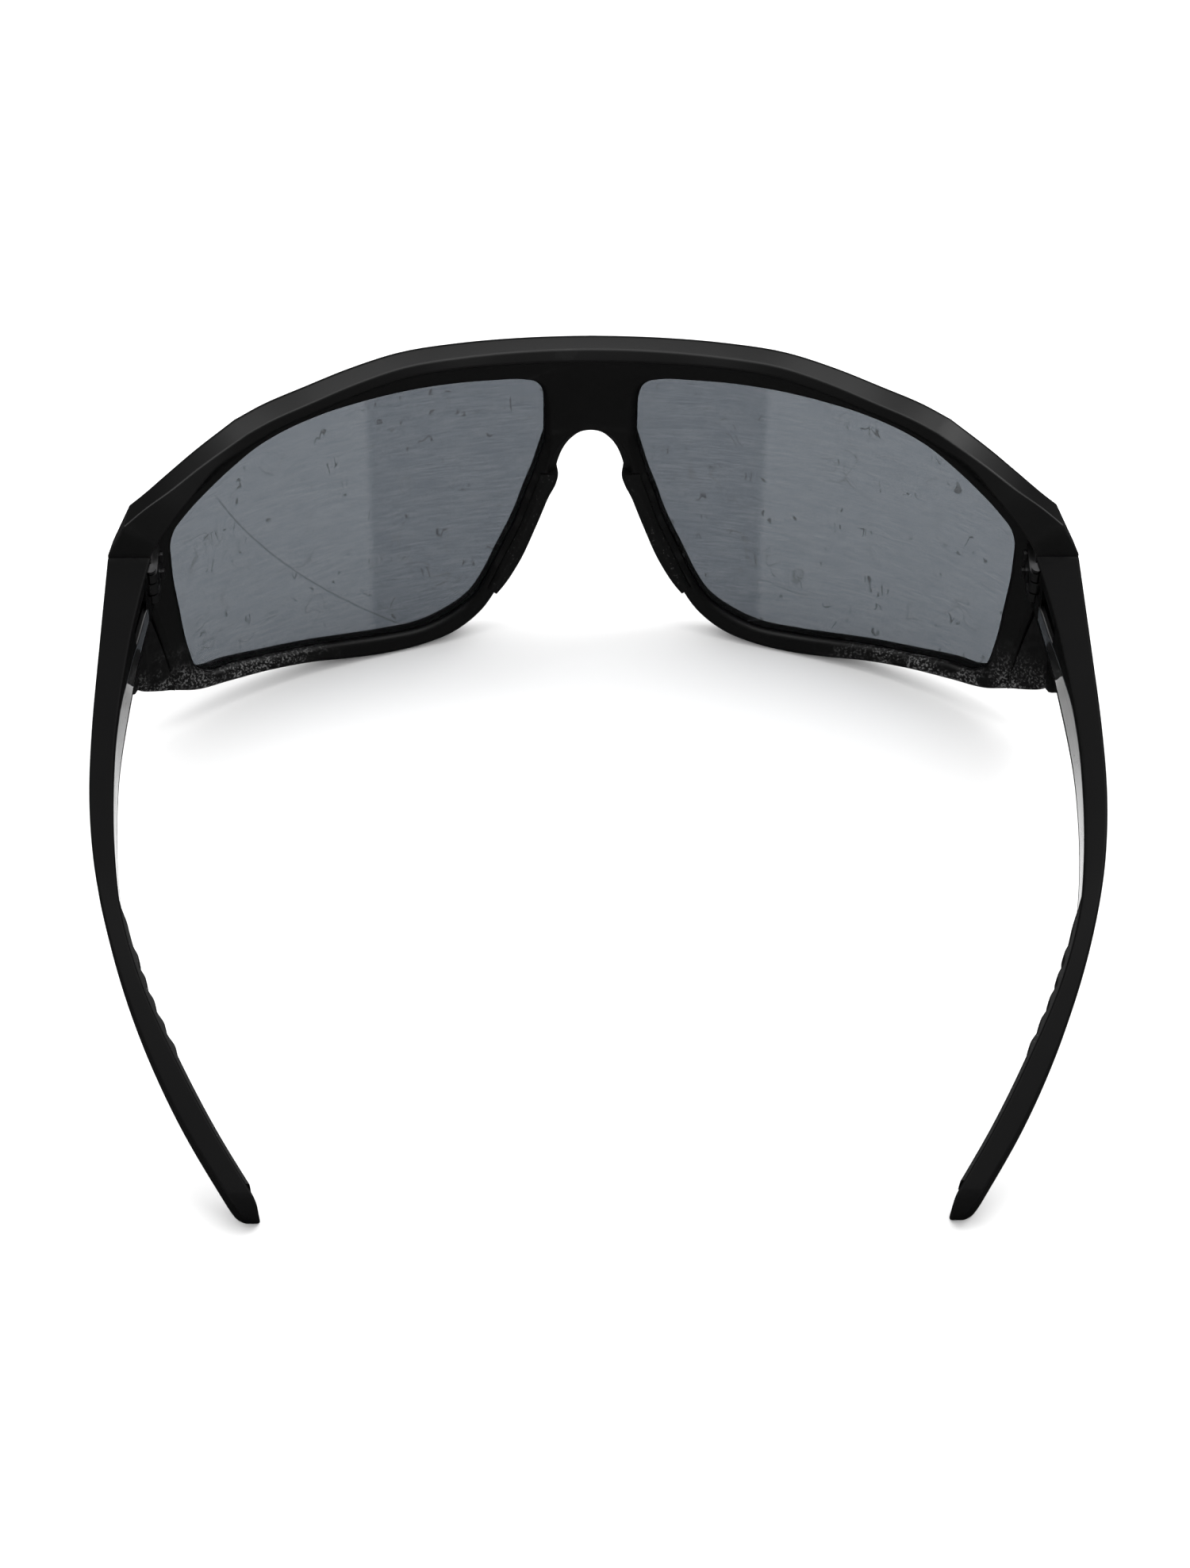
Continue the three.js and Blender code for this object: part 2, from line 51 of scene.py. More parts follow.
# Driving dimensions, the same as the CAD's.
WRAP_RADIUS = 95.0
TILT_RADIUS = 90.0
MID_HEIGHT = 26.0
FRONT_LIFT = -2.6
BACK_LIFT = 2.4
LENS_THICKNESS = 1.9
LENS_BITE = 1.2
GROOVE_ROOM = 0.12  # room between a lens and its groove
SEAM = 0.12  # width of a parting line between two pieces
BUTT_Y = 39.7
FOOTPRINT_CENTRE_Y = 73.887
HINGE = {"x": 69.9, "y": 40.9, "z": 34.6, "lean": math.radians(11), "radius": 1.1}
LINER_RANGE = (44.0, 106.5)
GRIP_RANGE = (107.0, 147.3)
ON_PLANE = 1e-6  # a point closer than this to x = 0 lies on the plane of symmetry
SHORTEST = 1e-5  # a rounding smaller than this is left out
NO_LENGTH = 1e-9  # stands in for the length of an empty step
CORNER_SHARE = 0.46  # the most of a side that the rounding of one corner takes
WELD = 0.002  # points closer than this become one
SHARP_ANGLE = 38  # degrees; where two faces turn by more, the edge between them stays sharp
LARGE_FACE_WEIGHT = 60  # how much the shading of an edge follows the larger face beside it


# --------------------------------------------------------------------------------------------------
# The wrap and general mesh work
# --------------------------------------------------------------------------------------------------
def wrap_normal(x, z):
    """The way out of the wrap at x and z, towards the wearer."""
    across = x / math.sqrt(WRAP_RADIUS**2 - x**2)
    normal = np.array([-across, 1.0, -(z - MID_HEIGHT) / TILT_RADIUS])
    return normal / np.linalg.norm(normal)


def on_wrap(x, z, lift):
    """The point `lift` off the wrap at x and z: a cylinder round z, bowed a little from top to bottom."""
    plan = WRAP_RADIUS - math.sqrt(WRAP_RADIUS**2 - x**2)
    side = (z - MID_HEIGHT) ** 2 / (2 * TILT_RADIUS)
    return np.array([x, plan + side, z]) + lift * wrap_normal(x, z)


def band_faces(ring_count, size, around):
    """Quads between neighbouring rings, the last joined to the first if `around`."""
    faces = []
    for i in range(ring_count if around else ring_count - 1):
        here = i * size
        there = (i + 1) % ring_count * size
        for k in range(size):
            after = (k + 1) % size
            faces.append((here + k, here + after, there + after, there + k))
    return faces


def loft(rings):
    """Points and faces of a skin through rings, each end closed by a fan about its middle."""
    size = len(rings[0])
    points = [p for ring in rings for p in ring]
    faces = band_faces(len(rings), size, False)
    for ring in (0, len(rings) - 1):
        points.append(np.mean(rings[ring], axis=0))
        middle = len(points) - 1
        for k in range(size):
            a, b = ring * size + k, ring * size + (k + 1) % size
            faces.append((b, a, middle) if ring == 0 else (a, b, middle))
    return points, faces


def rounded(ring, radii, arc):
    """A ring with each corner replaced by a curve of `arc` steps that starts `radius` before it."""
    out = []
    count = len(ring)
    for k, corner in enumerate(ring):
        before = ring[k - 1] - corner
        after = ring[(k + 1) % count] - corner
        sizes = [np.linalg.norm(before), np.linalg.norm(after)]
        radius = min(radii[k], CORNER_SHARE * sizes[0], CORNER_SHARE * sizes[1])
        leaves_plane = abs(corner[0]) < ON_PLANE and max(abs(before[0]), abs(after[0])) > ON_PLANE
        if leaves_plane or radius < SHORTEST:
            out.extend([corner] * (arc + 1))
            continue
        start = corner + before * radius / sizes[0]
        end = corner + after * radius / sizes[1]
        for t in np.linspace(0, 1, arc + 1):
            out.append((1 - t) ** 2 * start + 2 * t * (1 - t) * corner + t * t * end)
    return out


def along(keys, y):
    """A smooth curve through (y, value) keys."""
    last = len(keys) - 1
    i = 0
    while i < last - 1 and y >= keys[i + 1][0]:
        i += 1

    def slope(k):
        before, after = keys[max(k - 1, 0)], keys[min(k + 1, last)]
        return (after[1] - before[1]) / (after[0] - before[0])

    start, end = keys[i], keys[i + 1]
    span = end[0] - start[0]
    t = (y - start[0]) / span
    value = start[1] * (1 + 2 * t) * (1 - t) ** 2 + end[1] * t * t * (3 - 2 * t)
    return value + span * (slope(i) * t * (1 - t) ** 2 - slope(i + 1) * t * t * (1 - t))


def smooth_step(low, high, value):
    t = min(max((value - low) / (high - low), 0.0), 1.0)
    return t * t * (3 - 2 * t)


def smooth_tracks(rings, divisions, around, kinks=lambda station, track: False, mirror_at=()):
    """More rings between the given ones. Each point of the section follows a smooth curve from ring to ring,
    which turns a corner where `kinks` says so. At a station in `mirror_at` a kinked curve meets its mirror
    image squarely."""
    points = np.array(rings)
    count, size = points.shape[:2]
    segments = count if around else count - 1
    out = []

    def chord(i, k):
        return max(np.linalg.norm(points[(i + 1) % count, k] - points[i % count, k]), NO_LENGTH)

    def tangent(i, k, forward):
        """The direction of track k at station i, on the side after it if `forward`."""
        ahead = around or i < count - 1
        behind = around or i > 0
        after = (points[(i + 1) % count, k] - points[i, k]) / chord(i, k) if ahead else None
        before = (points[i, k] - points[i - 1, k]) / chord(i - 1, k) if behind else None
        if after is None:
            return before
        if before is None:
            return after
        if kinks(i, k):
            side = after if forward else before
            if (i, forward) in mirror_at:
                return side * np.array([1.0, 0.0, 0.0])
            return side
        weight = chord(i - 1, k) / (chord(i, k) + chord(i - 1, k))
        return after * weight + before * (1 - weight)

    for i in range(segments):
        following = (i + 1) % count
        starts = np.array([tangent(i, k, True) * chord(i, k) for k in range(size)])
        ends = np.array([tangent(following, k, False) * chord(i, k) for k in range(size)])
        for step in range(divisions):
            t = step / divisions
            out.append(
                points[i] * (1 + 2 * t) * (1 - t) ** 2
                + points[following] * t * t * (3 - 2 * t)
                + starts * t * (1 - t) ** 2
                - ends * t * t * (1 - t)
            )
    if not around:
        out.append(points[-1])
    return [list(ring) for ring in out]


def solid(name, points, faces, sign=1):
    """A mesh object from points in the drawing's millimetres, mirrored to the right side if sign is -1."""
    mesh = bpy.data.meshes.new(name)
    place = np.array(points, float) * [sign, 1, 1] - [0, FOOTPRINT_CENTRE_Y, 0]
    mesh.from_pydata((place * MM).tolist(), [], faces)
    work = bmesh.new()
    work.from_mesh(mesh)
    bmesh.ops.remove_doubles(work, verts=work.verts, dist=WELD * MM)
    bmesh.ops.dissolve_degenerate(work, edges=work.edges, dist=WELD * MM / 4)
    bmesh.ops.recalc_face_normals(work, faces=work.faces)
    work.to_mesh(mesh)
    work.free()
    thing = bpy.data.objects.new(name, mesh)
    bpy.context.scene.collection.objects.link(thing)
    return thing


def carve(thing, tools):
    """Cuts the tools out of thing, then removes the tools."""
    for tool in tools:
        step = thing.modifiers.new("cut", "BOOLEAN")
        step.operation = "DIFFERENCE"
        step.solver = "EXACT"
        step.object = tool
    bpy.context.view_layer.update()
    graph = bpy.context.evaluated_depsgraph_get()
    result = bpy.data.meshes.new_from_object(thing.evaluated_get(graph))
    thing.modifiers.clear()
    thing.data = result
    for tool in tools:
        bpy.data.objects.remove(tool)


def finish_surface(thing, material):
    """Smooth shading that keeps flat faces flat and true corners sharp."""
    mesh = thing.data
    mesh.materials.clear()
    mesh.materials.append(material)
    mesh.polygons.foreach_set("use_smooth", [True] * len(mesh.polygons))
    mesh.set_sharp_from_angle(angle=math.radians(SHARP_ANGLE))
    weighted = thing.modifiers.new("weighted", "WEIGHTED_NORMAL")
    weighted.keep_sharp = True
    weighted.weight = LARGE_FACE_WEIGHT


# --------------------------------------------------------------------------------------------------
# Materials
# --------------------------------------------------------------------------------------------------
class Nodes:
    """A short way to write a node material."""

    def __init__(self, name):
        self.material = bpy.data.materials.new(name)
        self.material.use_nodes = True
        self.tree = self.material.node_tree
        self.tree.nodes.clear()
        self.out = self.add("ShaderNodeOutputMaterial")
        self.place = self.add("ShaderNodeTexCoord").outputs["Object"]

    def add(self, kind, inputs=None, **settings):
        node = self.tree.nodes.new(kind)
        for key, value in settings.items():
            setattr(node, key, value)
        for key, value in (inputs or {}).items():
            if isinstance(value, bpy.types.NodeSocket):
                self.tree.links.new(value, node.inputs[key])
            else:
                node.inputs[key].default_value = value
        return node

    def noise(self, scale, detail, rough=0.5, stretch=(1, 1, 1)):
        mapped = self.add("ShaderNodeMapping", {"Vector": self.place, "Scale": stretch})
        inputs = {"Vector": mapped.outputs["Vector"], "Scale": scale, "Detail": detail, "Roughness": rough}
        return self.add("ShaderNodeTexNoise", inputs).outputs["Fac"]

    def remap(self, value, low, high, to_low=0.0, to_high=1.0):
        """A soft ramp that gives to_low at `low` and to_high at `high`, also where low is the larger."""
        node = self.add(
            "ShaderNodeMapRange",
            {"Value": value, "From Min": low, "From Max": high, "To Min": to_low, "To Max": to_high},
            interpolation_type="SMOOTHSTEP",
        )
        return node.outputs["Result"]

    def math(self, operation, a, b=0.0):
        return self.add("ShaderNodeMath", {0: a, 1: b}, operation=operation).outputs[0]

    def mix(self, factor, a, b):
        node = self.add("ShaderNodeMix", {"Factor": factor, "A": a, "B": b}, data_type="FLOAT")
        return node.outputs["Result"]

    def colour(self, factor, a, b):
        node = self.tree.nodes.new("ShaderNodeMix")
        node.data_type = "RGBA"
        for key, value in ((0, factor), (6, a), (7, b)):
            if isinstance(value, bpy.types.NodeSocket):
                self.tree.links.new(value, node.inputs[key])
            else:
                node.inputs[key].default_value = value
        return node.outputs[2]

    def bumps(self, value, distance, strength):
        """The normal of a surface that `value` raises by up to `distance` metres."""
        inputs = {"Height": value, "Distance": distance, "Strength": strength}
        return self.add("ShaderNodeBump", inputs).outputs["Normal"]

    def surface(self, shader):
        self.tree.links.new(shader, self.out.inputs["Surface"])
        return self.material

    def principled(self, inputs):
        return self.surface(self.add("ShaderNodeBsdfPrincipled", inputs).outputs[0])


def grey(value, blue=0.0):
    """A grey, with its blue raised by the share `blue`."""
    return (value, value, value * (1 + blue), 1.0)


def edge_wear(nodes, low, high):
    """1 along outward edges, 0 on flat and hollow surfaces."""
    pointed = nodes.add("ShaderNodeNewGeometry").outputs["Pointiness"]
    return nodes.remap(pointed, low, high)


def fine_scratches(nodes, scale, stretch, width):
    """Sparse hair-thin lines, 1 on a line. They follow the middle level of a noise."""
    slant = (0.4, 0.9, 0.7)
    mapped = nodes.add("ShaderNodeMapping", {"Vector": nodes.place, "Scale": stretch, "Rotation": slant})
    inputs = {"Vector": mapped.outputs["Vector"], "Scale": scale, "Detail": 1.0, "Distortion": 0.6}
    level = nodes.add("ShaderNodeTexNoise", inputs).outputs["Fac"]
    off_middle = nodes.math("ABSOLUTE", nodes.math("SUBTRACT", level, 0.5))
    return nodes.remap(off_middle, width, 0.0)


# Where the plastic is scuffed, in metres: not at all at the first value, fully from the second one on.
SCUFFED_BELOW = (0.018, 0.005)
SCUFFED_OUTBOARD = (0.036, 0.056)
SCUFFED_AHEAD = (-0.02, -0.028)


def scuffs(nodes):
    """Grey scuffs, 1 where they are strongest: low down, at the outer corners of the front."""
    place = nodes.add("ShaderNodeSeparateXYZ", {"Vector": nodes.place}).outputs
    low_down = nodes.remap(place["Z"], *SCUFFED_BELOW)
    outboard = nodes.remap(nodes.math("ABSOLUTE", place["X"]), *SCUFFED_OUTBOARD)
    ahead = nodes.remap(place["Y"], *SCUFFED_AHEAD)
    zone = nodes.math("MULTIPLY", nodes.math("MULTIPLY", low_down, outboard), ahead)
    specks = nodes.remap(nodes.noise(scale=2600, detail=2, rough=0.6), low=0.5, high=0.62)
    clusters = nodes.remap(nodes.noise(scale=240, detail=3), low=0.36, high=0.56)
    return nodes.math("MULTIPLY", zone, nodes.math("MULTIPLY", specks, clusters))


def frame_plastic(name, shine):
    """Nearly black moulded plastic with faint patches, worn edges and scuffs."""
    nodes = Nodes(name)
    black, soft_black = grey(0.0030), grey(0.0045, blue=0.04)
    worn_grey, scuff_grey = grey(0.015), grey(0.13)
    wear_strength, scuff_strength = 0.3, 0.9
    patches = nodes.noise(scale=60, detail=4)
    breaks = nodes.remap(nodes.noise(scale=900, detail=3), low=0.35, high=0.65, to_low=0.3, to_high=1.0)
    wear = nodes.math("MULTIPLY", edge_wear(nodes, low=0.515, high=0.56), breaks)
    base = nodes.colour(patches, black, soft_black)
    base = nodes.colour(nodes.math("MULTIPLY", wear, wear_strength), base, worn_grey)
    base = nodes.colour(nodes.math("MULTIPLY", scuffs(nodes), scuff_strength), base, scuff_grey)
    rough = nodes.mix(patches, 0.36, 0.43)
    grain = nodes.noise(scale=5200, detail=3)
    return nodes.principled({
        "Base Color": base,
        "Roughness": nodes.mix(wear, rough, 0.36),
        "Specular IOR Level": shine,
        "Normal": nodes.bumps(grain, distance=0.00002, strength=0.35),
    })


def rubber():
    """Soft dark rubber with a little dust in its grain."""
    nodes = Nodes("rubber")
    black, soft_black, dust_grey = grey(0.0035), grey(0.006), grey(0.09)
    dust_strength = 0.5
    patches = nodes.noise(scale=140, detail=4)
    specks = nodes.remap(nodes.noise(scale=3400, detail=1, rough=0.4), low=0.7, high=0.76)
    base = nodes.colour(patches, black, soft_black)
    base = nodes.colour(nodes.math("MULTIPLY", specks, dust_strength), base, dust_grey)
    grain = nodes.noise(scale=7000, detail=2)
    return nodes.principled({
        "Base Color": base,
        "Roughness": nodes.mix(patches, 0.46, 0.56),
        "Specular IOR Level": 0.3,
        "Normal": nodes.bumps(grain, distance=0.00001, strength=0.3),
    })


def satin_plastic():
    """The smooth liner: satin below, with a clear glossy coat and fine hairline scratches."""
    nodes = Nodes("satin_plastic")
    dark, paler, scratch_grey = grey(0.008), grey(0.012, blue=0.05), grey(0.08)
    scratch_strength, scratch_rough = 0.5, 0.5
    hairs = fine_scratches(nodes, scale=260, stretch=(1, 0.25, 1), width=0.012)
    patches = nodes.noise(scale=120, detail=4)
    base = nodes.colour(patches, dark, paler)
    base = nodes.colour(nodes.math("MULTIPLY", hairs, scratch_strength), base, scratch_grey)
    rough = nodes.mix(patches, 0.24, 0.34)
    return nodes.principled({
        "Base Color": base,
        "Roughness": nodes.mix(hairs, rough, scratch_rough),
        "Specular IOR Level": 0.5,
        "Coat Weight": nodes.mix(patches, 0.7, 0.95),
        "Coat Roughness": 0.0,
        "Normal": nodes.bumps(nodes.noise(scale=1800, detail=3), distance=0.00002, strength=0.3),
    })


def steel():
    """Dull brushed steel of the hinges and screws."""
    nodes = Nodes("steel")
    brushed = nodes.noise(scale=900, detail=4, rough=0.6, stretch=(1, 12, 1))
    stains = nodes.noise(scale=500, detail=3)
    return nodes.principled({
        "Base Color": nodes.colour(stains, grey(0.14), grey(0.22, blue=0.03)),
        "Metallic": 1.0,
        "Roughness": nodes.mix(brushed, 0.26, 0.42),
        "Normal": nodes.bumps(brushed, distance=0.00001, strength=0.5),
    })


LENS_TINTS = ((0.327, 0.346, 0.366, 1), (0.337, 0.355, 0.376, 1))  # what one face lets through
# painted shade: the darker tint painted on a band of the lenses, for a viewer behind them
PAINTED_SHADE_TINT = (0.286, 0.304, 0.326, 1)
PAINTED_SHADE_RANGE = (-0.0288, 0.0366)  # painted shade: seen from behind, the lenses are painted darker between these x, standing in for darker surroundings seen through them
PAINTED_SHADE_BLUR = 0.0008
DUST_TINT = (0.5, 0.52, 0.55, 1)
HEAD_ON_MIRROR, GRAZING_MIRROR = 0.04, 0.9  # shares of light reflected: straight on, and added at the edge
LONG_SCRATCH = {"centre": (-0.0032, 0.0614), "radius": 0.0671, "top": 0.042, "fade": 0.004, "width": 0.0002}


def painted_lens_shade(nodes, across):
    """1 where the lenses get painted shade, for a viewer behind the glasses: darker surroundings seen through
    them, painted into their tint.
    """
    start, end = PAINTED_SHADE_RANGE
    shade = nodes.math(
        "MULTIPLY",
        nodes.remap(across, start - PAINTED_SHADE_BLUR, start + PAINTED_SHADE_BLUR),
        nodes.remap(across, end + PAINTED_SHADE_BLUR, end - PAINTED_SHADE_BLUR),
    )
    incoming = nodes.add("ShaderNodeNewGeometry").outputs["Incoming"]
    viewer = nodes.add("ShaderNodeSeparateXYZ", {"Vector": incoming})
    from_behind = nodes.math("GREATER_THAN", viewer.outputs["Y"], 0.0)
    return nodes.math("MULTIPLY", shade, from_behind)


def long_scratch(nodes, across, height):
    """1 on a long arc across the left lens."""
    scratch = LONG_SCRATCH
    from_centre = nodes.add(
        "ShaderNodeVectorMath",
        {
            0: nodes.add("ShaderNodeCombineXYZ", {"X": across, "Z": height}).outputs[0],
            1: (scratch["centre"][0], 0, scratch["centre"][1]),
        },
        operation="DISTANCE",
    ).outputs["Value"]
    off_arc = nodes.math("ABSOLUTE", nodes.math("SUBTRACT", from_centre, scratch["radius"]))
    arc = nodes.remap(off_arc, scratch["width"], scratch["width"] / 3)
    arc = nodes.math("MULTIPLY", arc, nodes.remap(height, scratch["top"], scratch["top"] - scratch["fade"]))
    return nodes.math("MULTIPLY", arc, nodes.math("GREATER_THAN", across, 0.0))


def lens_marks(nodes, arc, hairs):
    """How strongly the lens is scratched. Only the near face is, so no scratch is seen twice."""
    arc_strength, hair_strength, nick_strength = 0.45, 0.55, 0.9
    nicks = nodes.math(
        "MULTIPLY",
        fine_scratches(nodes, scale=420, stretch=(1, 1, 0.4), width=0.04),
        nodes.remap(nodes.noise(scale=330, detail=1), low=0.62, high=0.68),
    )
    arc = nodes.math("MULTIPLY", arc, arc_strength)
    marks = nodes.math("MAXIMUM", arc, nodes.math("MULTIPLY", hairs, hair_strength))
    marks = nodes.math("MAXIMUM", marks, nodes.math("MULTIPLY", nicks, nick_strength))
    far_face = nodes.add("ShaderNodeNewGeometry").outputs["Backfacing"]
    return nodes.math("MULTIPLY", marks, nodes.math("SUBTRACT", 1.0, far_face))


def smoke_lens():
    """Tinted polycarbonate: light passes straight through, darkened, and both faces reflect. Seen from
    behind, a band of it also gets painted shade.
    """
    nodes = Nodes("smoke_lens")
    wiped_grey, scratch_grey, wipe_strength = grey(0.5), grey(0.17), 0.2
    least_dust, dust_in_hairs = 0.006, 0.03
    place = nodes.add("ShaderNodeSeparateXYZ", {"Vector": nodes.place})
    across, height = place.outputs["X"], place.outputs["Z"]
    tint = nodes.colour(nodes.noise(scale=45, detail=3), *LENS_TINTS)
    # painted shade: seen from behind, a band of each lens is darkened as if darker surroundings showed
    # through it
    tint = nodes.colour(painted_lens_shade(nodes, across), tint, PAINTED_SHADE_TINT)
    wiped = nodes.remap(nodes.noise(scale=200, detail=4, rough=0.75, stretch=(1, 1, 14)), low=0.42, high=0.62)
    tint = nodes.colour(nodes.math("MULTIPLY", wiped, wipe_strength), tint, wiped_grey)
    hairs = nodes.math(
        "MULTIPLY",
        fine_scratches(nodes, scale=150, stretch=(1, 1, 1), width=0.014),
        nodes.remap(nodes.noise(scale=110, detail=2), low=0.5, high=0.6),
    )
    tint = nodes.colour(lens_marks(nodes, long_scratch(nodes, across, height), hairs), tint, scratch_grey)
    clear = nodes.add("ShaderNodeBsdfTransparent", {"Color": tint})
    haze = nodes.add("ShaderNodeBsdfDiffuse", {"Color": DUST_TINT})
    dust = nodes.math("ADD", least_dust, nodes.math("MULTIPLY", hairs, dust_in_hairs))
    dusty = nodes.add("ShaderNodeMixShader", {0: dust, 1: clear.outputs[0], 2: haze.outputs[0]})
    gloss = nodes.add("ShaderNodeBsdfGlossy", {"Roughness": 0.06, "Color": grey(1)})
    facing = nodes.add("ShaderNodeLayerWeight", {"Blend": 0.5}).outputs["Facing"]
    grazing = nodes.math("MULTIPLY", nodes.math("POWER", facing, 5.0), GRAZING_MIRROR)
    mirror = nodes.math("ADD", HEAD_ON_MIRROR, grazing)
    shader = nodes.add("ShaderNodeMixShader", {0: mirror, 1: dusty.outputs[0], 2: gloss.outputs[0]})
    return nodes.surface(shader.outputs[0])


def pale_floor():
    """White paper. Blurred reflections see it dimmed, as dark flags round the stage would make it."""
    nodes = Nodes("pale_floor")
    dimmed = grey(0.03)
    tone = nodes.colour(nodes.noise(scale=6, detail=2), grey(0.86), grey(0.88))
    path = nodes.add("ShaderNodeLightPath").outputs
    blurred = nodes.math("SUBTRACT", path["Is Glossy Ray"], path["Is Singular Ray"])
    shader = nodes.add("ShaderNodeBsdfDiffuse", {"Color": nodes.colour(blurred, tone, dimmed)})
    return nodes.surface(shader.outputs[0])


FRAME_PLASTIC = frame_plastic("frame_plastic", shine=0.45)
TEMPLE_PLASTIC = frame_plastic("temple_plastic", shine=0.06)
RUBBER = rubber()
SATIN_PLASTIC = satin_plastic()
STEEL = steel()
SMOKE_LENS = smoke_lens()


# --------------------------------------------------------------------------------------------------
# Frame front
# --------------------------------------------------------------------------------------------------
# Each station joins a point of the lens opening to a point of the outer outline, both [x, z] on the wrap.
# edge: (inset, depth) of the rear outer bevel; the front outer bevel is as wide as its inset.
# chamfer: (inset, depth) of the rear bevel beside the lens.
# brow: how far the ridge under the top face stands in from the edge bevel.
# rear: the rearmost outer and inner corners of an end piece, as (x, y, z).
# inward: the way in from the outline, where that isn't the station's own line.
# size: how bulky the nose pad is there. kink: the outer lines turn a corner here.
def station(opening, outline, **shape):
    return {"opening": opening, "outline": outline, **shape}


BRIDGE = {"edge": (0, 0), "chamfer": (0.9, 0.8)}
STATIONS = [
    station((7.7, 38.8), (0, 39.2), edge=(0.8, 0.7), chamfer=(1.0, 0.9), inward=(0, 1), kink=True),
    station((7.7, 39.8), (0, 40), kink=True, **BRIDGE),
    station((7.7, 43), (0, 46), kink=True, **BRIDGE),
    station((7.9, 47), (0, 51), kink=True, **BRIDGE),
    station((8.6, 49.6), (0, 55.2), kink=True, **BRIDGE),
    station((9.8, 50.9), (0, 56.95), edge=(0.6, 1.5), brow=0.3, inward=(0, -1), kink=True),
    station((11.8, 51.5), (5, 56.95), edge=(0.6, 1.5), brow=0.3, inward=(0, -1)),
    station((17, 51.8), (12, 57), edge=(0.6, 1.4), brow=0.3, inward=(0, -1)),
    station((24, 52), (21, 57.05), edge=(0.6, 1.3), brow=0.3),
    station((31, 51.9), (30.6, 56.95), edge=(0.6, 1.1), brow=0.3),
    station((38, 51.5), (38, 55.7), edge=(0.6, 0.9), brow=0.4),
    station((45.2, 50.8), (45.5, 54.1), edge=(0.6, 0.7), brow=0.5),
    station((50.6, 49.7), (52, 53), brow=0.6),
    station((54.8, 48.2), (56, 51.9), brow=0.7, kink=True),
    station((58.6, 46), (62.4, 48.6), rear=((61.4, 28.2, 49.2), (60, 28.4, 48.2))),
    station((62.4, 43.4), (66.6, 46.4), rear=((66.3, 32.1, 47.1), (63.4, 32, 45.5))),
    station((66.4, 40.2), (70.2, 44.8), rear=((70.6, 36.4, 46), (67, 36.2, 42.6))),
    station((68, 38.5), (71.8, 44.35), rear=((73.7, 39.2, 44.6), (68.8, 38.6, 40.8)), kink=True),
    station((68.7, 36.3), (74.5, 39.4), rear=((76.6, BUTT_Y, 39.3), (69.8, BUTT_Y, 39.2)), kink=True),
    station((68.8, 33.2), (74.5, 33), rear=((76.6, BUTT_Y, 33), (69.8, BUTT_Y, 33)), kink=True),
    station((68.8, 32.2), (74.2, 32.4), kink=True),
    station((68.7, 28.4), (73.3, 28.5)),
    station((68.4, 24.9), (72.5, 25)),
    station((68.1, 21.9), (71.9, 22)),
    station((67.7, 17.7), (71.1, 17.5)),
    station((67.1, 13.9), (70.4, 13.2)),
    station((66, 9.9), (69.4, 7.9), kink=True),
    station((64.6, 8.3), (66.4, 6)),
    station((60.2, 7.2), (61.3, 4.6)),
    station((54.1, 5.8), (54.6, 3.3)),
    station((47, 4.6), (47.4, 1.9)),
    station((40.7, 3.6), (40.8, 0.5)),
    station((34.8, 3), (34.5, -0.2)),
    station((28.6, 3.1), (28.3, 0.1)),
    station((24.4, 4.4), (23.5, 1.3)),
    station((20.2, 7), (18.6, 4.6)),
    station((17.7, 10.6), (15.3, 9.1), edge=(0.9, 0.8)),
    station((16, 14.1), (12.8, 12.9), edge=(1.2, 1.1), chamfer=(1.1, 0.9)),
    station((12.7, 21.1), (9.6, 20.2), edge=(1.3, 1.2), chamfer=(1.1, 0.9)),
    station((10.9, 26.4), (7.6, 25.6), edge=(1.4, 1.3), chamfer=(1.3, 1.0)),
    station((9.8, 29.4), (6, 29.4), edge=(1.7, 1.5), chamfer=(1.6, 1.1), size=0.8),
    station((8.9, 32.5), (5.4, 32.3), edge=(1.6, 1.5), chamfer=(1.5, 1.1)),
    station((8.1, 35.5), (4.4, 35.2), edge=(1.5, 1.3), chamfer=(1.4, 1.0), inward=(0.9, 0.3)),
    station((7.7, 37.1), (3.1, 37.4), edge=(1.2, 1.0), chamfer=(1.2, 1.0), inward=(0.7, 0.7)),
    station((7.7, 38.1), (1.6, 38.8), edge=(0.9, 0.8), chamfer=(1.1, 1.0), inward=(0.2, 1)),
]
PLAIN_EDGE = (0.6, 0.6)
PLAIN_CHAMFER = (0.7, 0.7)
FRONT_CHAMFER = 0.7
END_PIECE_FOOT = 1.9  # least distance of the foot of an end piece from the opening
FOOT_GAP = 0.05  # least distance between the foot of the edge bevel and the chamfer
BRIDGE_TOP = 5  # the station at the top of the bridge
# The corners of a section, in the order of front_section, and the ones on its outer side.
SECTION_RADII = [0.3, 0.06, 0, 0, 0.06, 0.3, 0.5, 0.45, 0.4, 0.3, 0.28, 0.7, 0.45]
OUTER_TRACKS = range(7, 12)
FRONT_DIVISIONS = 5
FRONT_ARC = 3


def station_point(spot, inset, lift):
    """A point `inset` outwards from the lens opening along a station's line."""
    start, end = np.array(spot["opening"], float), np.array(spot["outline"], float)
    place = start + (end - start) / np.linalg.norm(end - start) * inset
    return on_wrap(place[0], place[1], lift)


def station_width(spot):
    return math.dist(spot["opening"], spot["outline"])


